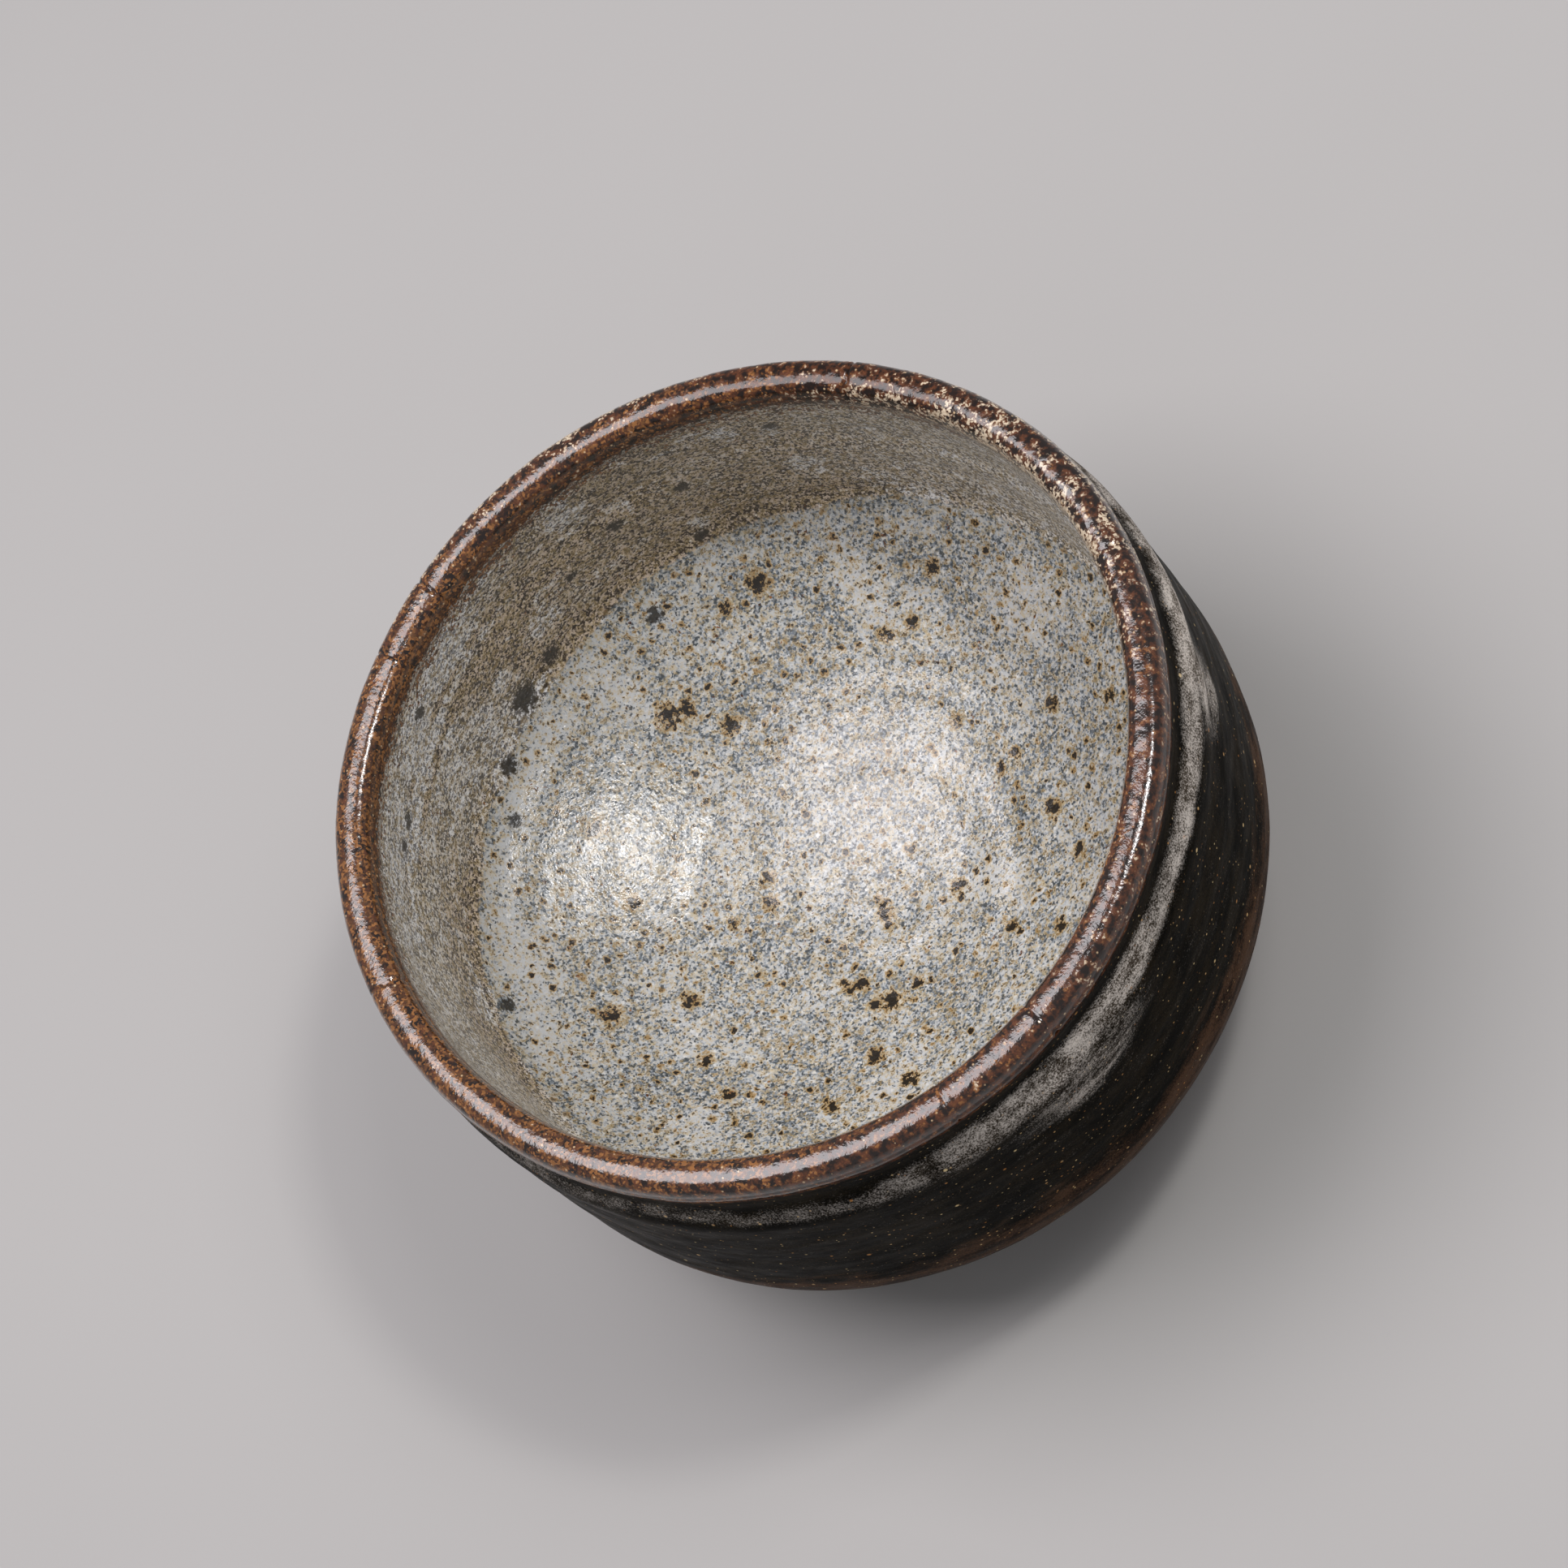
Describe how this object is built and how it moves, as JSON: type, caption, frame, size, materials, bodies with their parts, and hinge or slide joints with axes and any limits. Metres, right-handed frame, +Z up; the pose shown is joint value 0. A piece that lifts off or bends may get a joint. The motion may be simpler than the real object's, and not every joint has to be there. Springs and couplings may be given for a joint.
{
  "type": "tea bowl",
  "caption": "Wheel-thrown stoneware tea bowl with near-upright walls, a rounded iron-glazed lip, a pale dished interior, dark glaze outside and a foot ring.",
  "frame": {"origin": "centre of the circle on which the foot ring rests, on the resting plane", "axes": "+Z up along the bowl's axis of revolution; X and Y are any two level directions, with -Y nearest the viewer"},
  "size_m": [0.1206, 0.1206, 0.072],
  "materials": {
    "clay": "matte, speckled, bare stoneware",
    "foot_clay": "matte, bare stoneware, worn smooth where it rests",
    "liner_glaze": "satin gloss, pale grey with iron spots",
    "rim_glaze": "gloss, iron brown and amber with cream flecks",
    "outer_glaze": "gloss, near-black brown with ochre flecks",
    "band_glaze": "satin, grey-lilac brushed glaze"
  },
  "bodies": {
    "root": {"stoneware_body": "clay", "foot_ring": "foot_clay", "liner_glaze": "liner_glaze", "rim_glaze": "rim_glaze", "outer_glaze": "outer_glaze", "brushed_glaze_band": "band_glaze"}
  },
  "joints": []
}
